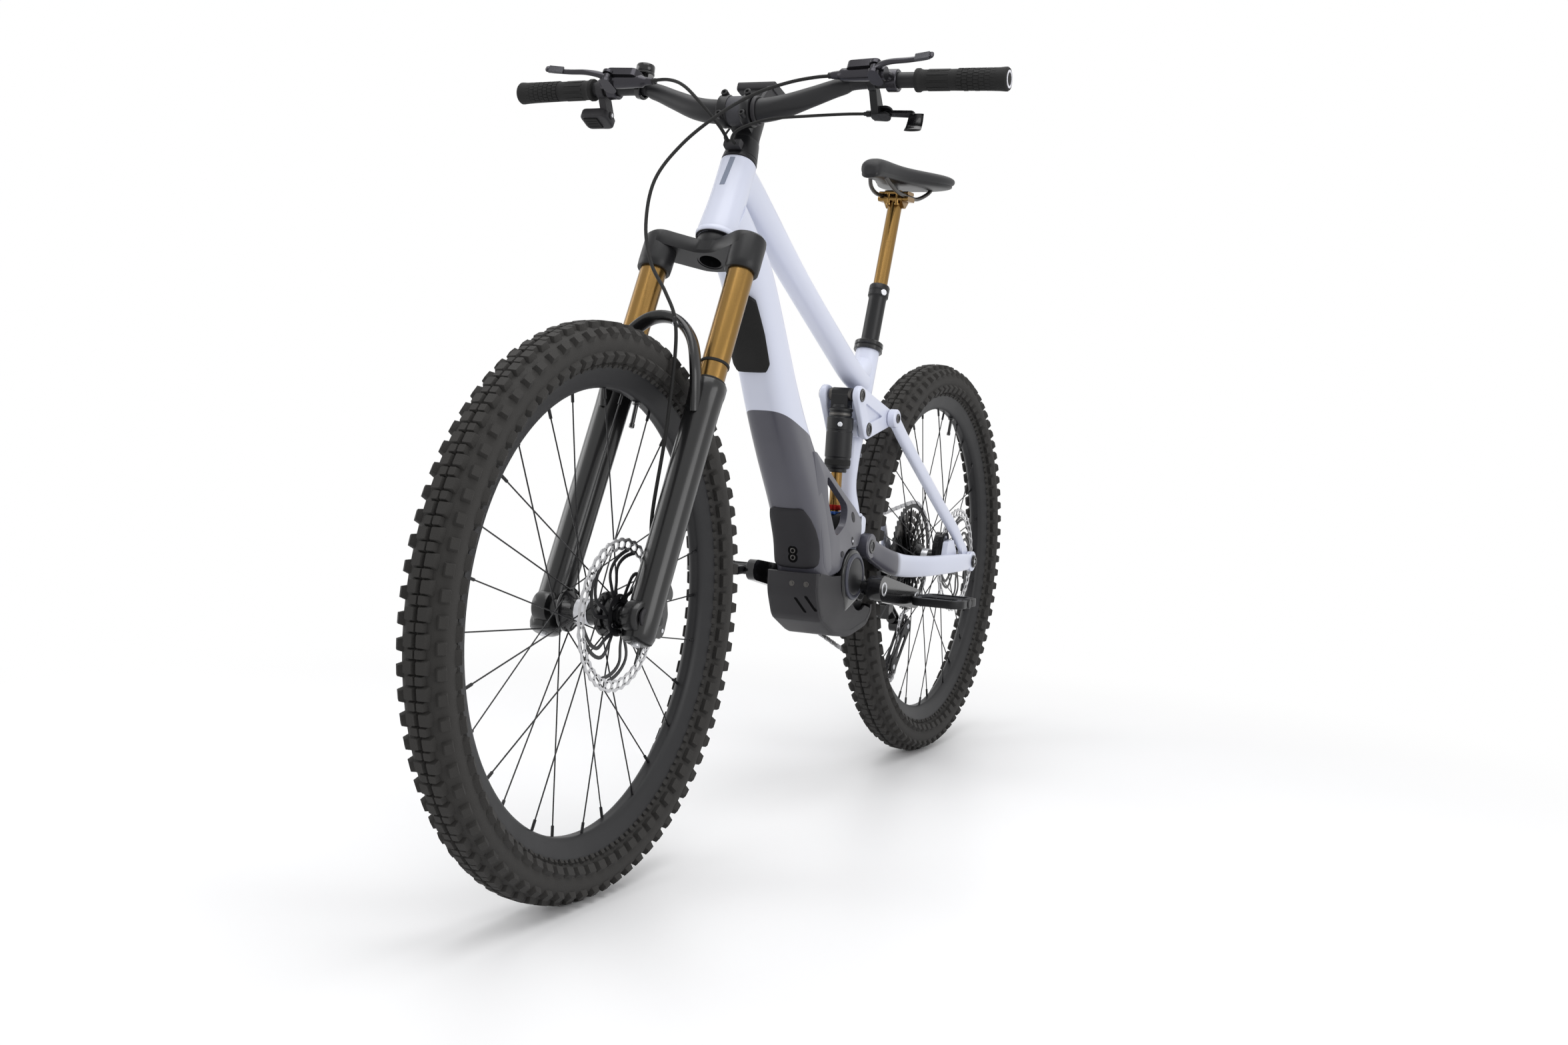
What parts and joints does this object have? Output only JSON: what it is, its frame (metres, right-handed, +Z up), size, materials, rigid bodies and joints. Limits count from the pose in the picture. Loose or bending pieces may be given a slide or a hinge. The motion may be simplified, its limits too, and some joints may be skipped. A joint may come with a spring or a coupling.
{
  "type": "electric full-suspension mountain bike",
  "caption": "Full-suspension electric mountain bike with a mid motor, battery in the down tube, disc brakes, dropper post and wide knobbly tyres.",
  "frame": {"origin": "on the ground, midway between the wheel axles, on the bike's centre plane", "axes": "+X forward, +Y to the rider's left, +Z up"},
  "size_m": [2.013, 0.7908, 1.1515],
  "materials": {
    "frame_paint": "satin pale blue-grey",
    "dark_plastic": "matt near-black",
    "black_gloss": "gloss black",
    "rubber": "matt",
    "tyre": "matt",
    "rim_carbon": "satin dark composite",
    "steel": "brushed",
    "silver_alloy": "satin",
    "gold_coating": "polished gold-coloured coating"
  },
  "bodies": {
    "frame": {"front_frame": "frame_paint", "battery_pack": "dark_plastic", "battery_cover": "rubber", "down_tube_bumper": "rubber", "motor_unit": "dark_plastic", "motor_skid_plate": "dark_plastic", "seat_clamp": "black_gloss", "dropper_outer": "black_gloss", "chain": "steel"},
    "cockpit": {"fork_upper": "black_gloss", "headset_cover": "black_gloss", "stem": "black_gloss", "handlebar": "rim_carbon", "grip_left": "rubber", "grip_right": "rubber", "brake_body_left": "black_gloss", "brake_body_right": "black_gloss", "shifter_pod": "dark_plastic", "dropper_remote": "black_gloss", "display": "dark_plastic", "bell": "black_gloss", "control_cables": "rubber", "front_brake_hose": "rubber"},
    "fork_legs": {"fork_lowers": "black_gloss", "front_axle": "black_gloss", "front_caliper": "black_gloss"},
    "front_wheel": {"front_tyre": "tyre", "front_rim": "rim_carbon", "front_hub": "black_gloss", "front_rotor": "steel"},
    "swingarm": {"chainstay": "frame_paint", "rear_axle": "black_gloss", "rear_caliper": "black_gloss", "derailleur_body": "black_gloss"},
    "seatstays": {"seatstay_left": "frame_paint", "seatstay_right": "frame_paint"},
    "rocker": {"rocker_link": "frame_paint"},
    "shock_lower": {"shock_shaft": "gold_coating"},
    "shock_upper": {"shock_can": "black_gloss"},
    "shock_lever": {"shock_lever": "silver_alloy"},
    "rear_wheel": {"rear_tyre": "tyre", "rear_rim": "rim_carbon", "rear_hub": "black_gloss", "rear_rotor": "steel"},
    "cassette": {"cassette": "steel"},
    "cranks": {"crank_left": "black_gloss", "crank_right": "black_gloss", "chainring": "black_gloss"},
    "pedal_left": {"pedal_left": "dark_plastic"},
    "pedal_right": {"pedal_right": "dark_plastic"},
    "derailleur_arm": {"derailleur_arm": "black_gloss"},
    "derailleur_cage": {"derailleur_cage": "dark_plastic"},
    "jockey_upper": {"jockey_upper": "dark_plastic"},
    "jockey_lower": {"jockey_lower": "dark_plastic"},
    "saddle_post": {"dropper_inner": "gold_coating", "saddle": "dark_plastic"},
    "lever_left": {"brake_lever_left": "black_gloss"},
    "lever_right": {"brake_lever_right": "black_gloss"},
    "remote_paddle": {"remote_paddle": "dark_plastic"},
    "shifter_button": {"shifter_button": "dark_plastic"}
  },
  "joints": [
    {"name": "steering", "type": "hinge", "parent": "frame", "child": "cockpit", "pos_m": [0.59312, 0, 0.35437], "axis": [-0.4462, 0, 0.8949], "range_deg": [-55, 55]},
    {"name": "fork_travel", "type": "slide", "parent": "cockpit", "child": "fork_legs", "axis": [-0.4462, 0, 0.8949], "range_m": [0, 0.17], "stiffness_N_per_m": 6000, "springref_m": -0.06, "deforming": ["front_brake_hose"]},
    {"name": "front_wheel_spin", "type": "hinge", "parent": "fork_legs", "child": "front_wheel", "pos_m": [0.6325, 0, 0.374], "axis": [0, 1, 0], "continuous": true},
    {"name": "rear_swing", "type": "hinge", "parent": "frame", "child": "swingarm", "pos_m": [-0.215, 0, 0.42], "axis": [0, 1, 0], "range_deg": [0, 22.04], "stiffness_Nm_per_rad": 450, "springref_deg": -17.19, "deforming": ["chain"]},
    {"name": "seatstay_turn", "type": "hinge", "parent": "swingarm", "child": "seatstays", "pos_m": [-0.6325, 0, 0.374], "axis": [0, 1, 0], "range_deg": [-8.4, 0.1]},
    {"name": "rocker_turn", "type": "hinge", "parent": "frame", "child": "rocker", "pos_m": [-0.201, 0, 0.62], "axis": [0, 1, 0], "range_deg": [-0.5, 60.6]},
    {"name": "shock_turn", "type": "hinge", "parent": "frame", "child": "shock_lower", "pos_m": [-0.155, 0, 0.452], "axis": [0, 1, 0], "range_deg": [-0.2, 10]},
    {"name": "shock_stroke", "type": "slide", "parent": "shock_lower", "child": "shock_upper", "axis": [0.0355, 0, -0.9994], "range_m": [-0.0005, 0.0612]},
    {"name": "shock_lever_turn", "type": "hinge", "parent": "shock_lower", "child": "shock_lever", "pos_m": [-0.15585, 0, 0.47598], "axis": [-0.0355, 0, 0.9994], "range_deg": [0, 40]},
    {"name": "rear_wheel_spin", "type": "hinge", "parent": "swingarm", "child": "rear_wheel", "pos_m": [-0.6325, 0, 0.374], "axis": [0, 1, 0], "continuous": true},
    {"name": "crank_spin", "type": "hinge", "parent": "frame", "child": "cranks", "pos_m": [-0.185, 0, 0.352], "axis": [0, 1, 0], "continuous": true},
    {"name": "cassette_spin", "type": "hinge", "parent": "swingarm", "child": "cassette", "pos_m": [-0.6325, 0, 0.374], "axis": [0, 1, 0], "continuous": true},
    {"name": "pedal_left_spin", "type": "hinge", "parent": "cranks", "child": "pedal_left", "pos_m": [-0.34749, 0.14, 0.32335], "axis": [0, 1, 0], "continuous": true},
    {"name": "pedal_right_spin", "type": "hinge", "parent": "cranks", "child": "pedal_right", "pos_m": [-0.02251, -0.14, 0.38065], "axis": [0, 1, 0], "continuous": true},
    {"name": "derailleur_shift", "type": "hinge", "parent": "swingarm", "child": "derailleur_arm", "pos_m": [-0.63, -0.095, 0.3], "axis": [-1, 0, 0], "range_deg": [0, 28], "stiffness_Nm_per_rad": 3, "springref_deg": -5.73},
    {"name": "cage_swing", "type": "hinge", "parent": "derailleur_arm", "child": "derailleur_cage", "pos_m": [-0.636, -0.04, 0.235], "axis": [0, 1, 0], "range_deg": [-25, 35], "stiffness_Nm_per_rad": 1.5},
    {"name": "jockey_upper_spin", "type": "hinge", "parent": "derailleur_cage", "child": "jockey_upper", "pos_m": [-0.636, -0.04, 0.235], "axis": [0, 1, 0], "continuous": true},
    {"name": "jockey_lower_spin", "type": "hinge", "parent": "derailleur_cage", "child": "jockey_lower", "pos_m": [-0.57, -0.04, 0.162], "axis": [0, 1, 0], "continuous": true},
    {"name": "dropper_slide", "type": "slide", "parent": "frame", "child": "saddle_post", "axis": [-0.3256, 0, 0.9455], "range_m": [-0.15, 0]},
    {"name": "brake_lever_left_pull", "type": "hinge", "parent": "cockpit", "child": "lever_left", "pos_m": [0.29615, 0.214, 1.12481], "axis": [-0.4462, 0, 0.8949], "range_deg": [0, 24], "stiffness_Nm_per_rad": 0.6, "springref_deg": -8.59},
    {"name": "brake_lever_right_pull", "type": "hinge", "parent": "cockpit", "child": "lever_right", "pos_m": [0.29615, -0.214, 1.12481], "axis": [0.4462, 0, -0.8949], "range_deg": [0, 24], "stiffness_Nm_per_rad": 0.6, "springref_deg": -8.59},
    {"name": "remote_paddle_press", "type": "hinge", "parent": "cockpit", "child": "remote_paddle", "pos_m": [0.2308, 0.208, 1.07435], "axis": [0.4462, 0, -0.8949], "range_deg": [0, 15], "stiffness_Nm_per_rad": 0.4, "springref_deg": -8.59},
    {"name": "shifter_button_press", "type": "slide", "parent": "cockpit", "child": "shifter_button", "axis": [-0.4462, 0, 0.8949], "range_m": [0, 0.002], "stiffness_N_per_m": 600, "springref_m": -0.001}
  ],
  "couplings": [
    {"joint": "seatstay_turn", "follows": "rear_swing", "ratio": -0.37786},
    {"joint": "rocker_turn", "follows": "rear_swing", "ratio": 2.7443},
    {"joint": "shock_turn", "follows": "rear_swing", "ratio": 0.44627},
    {"joint": "shock_stroke", "follows": "rear_swing", "m_per_rad": 0.15755},
    {"joint": "cassette_spin", "follows": "crank_spin", "ratio": 0.65385},
    {"joint": "jockey_lower_spin", "follows": "crank_spin", "ratio": 2.4286},
    {"joint": "jockey_upper_spin", "follows": "crank_spin", "ratio": -2.4286}
  ]
}
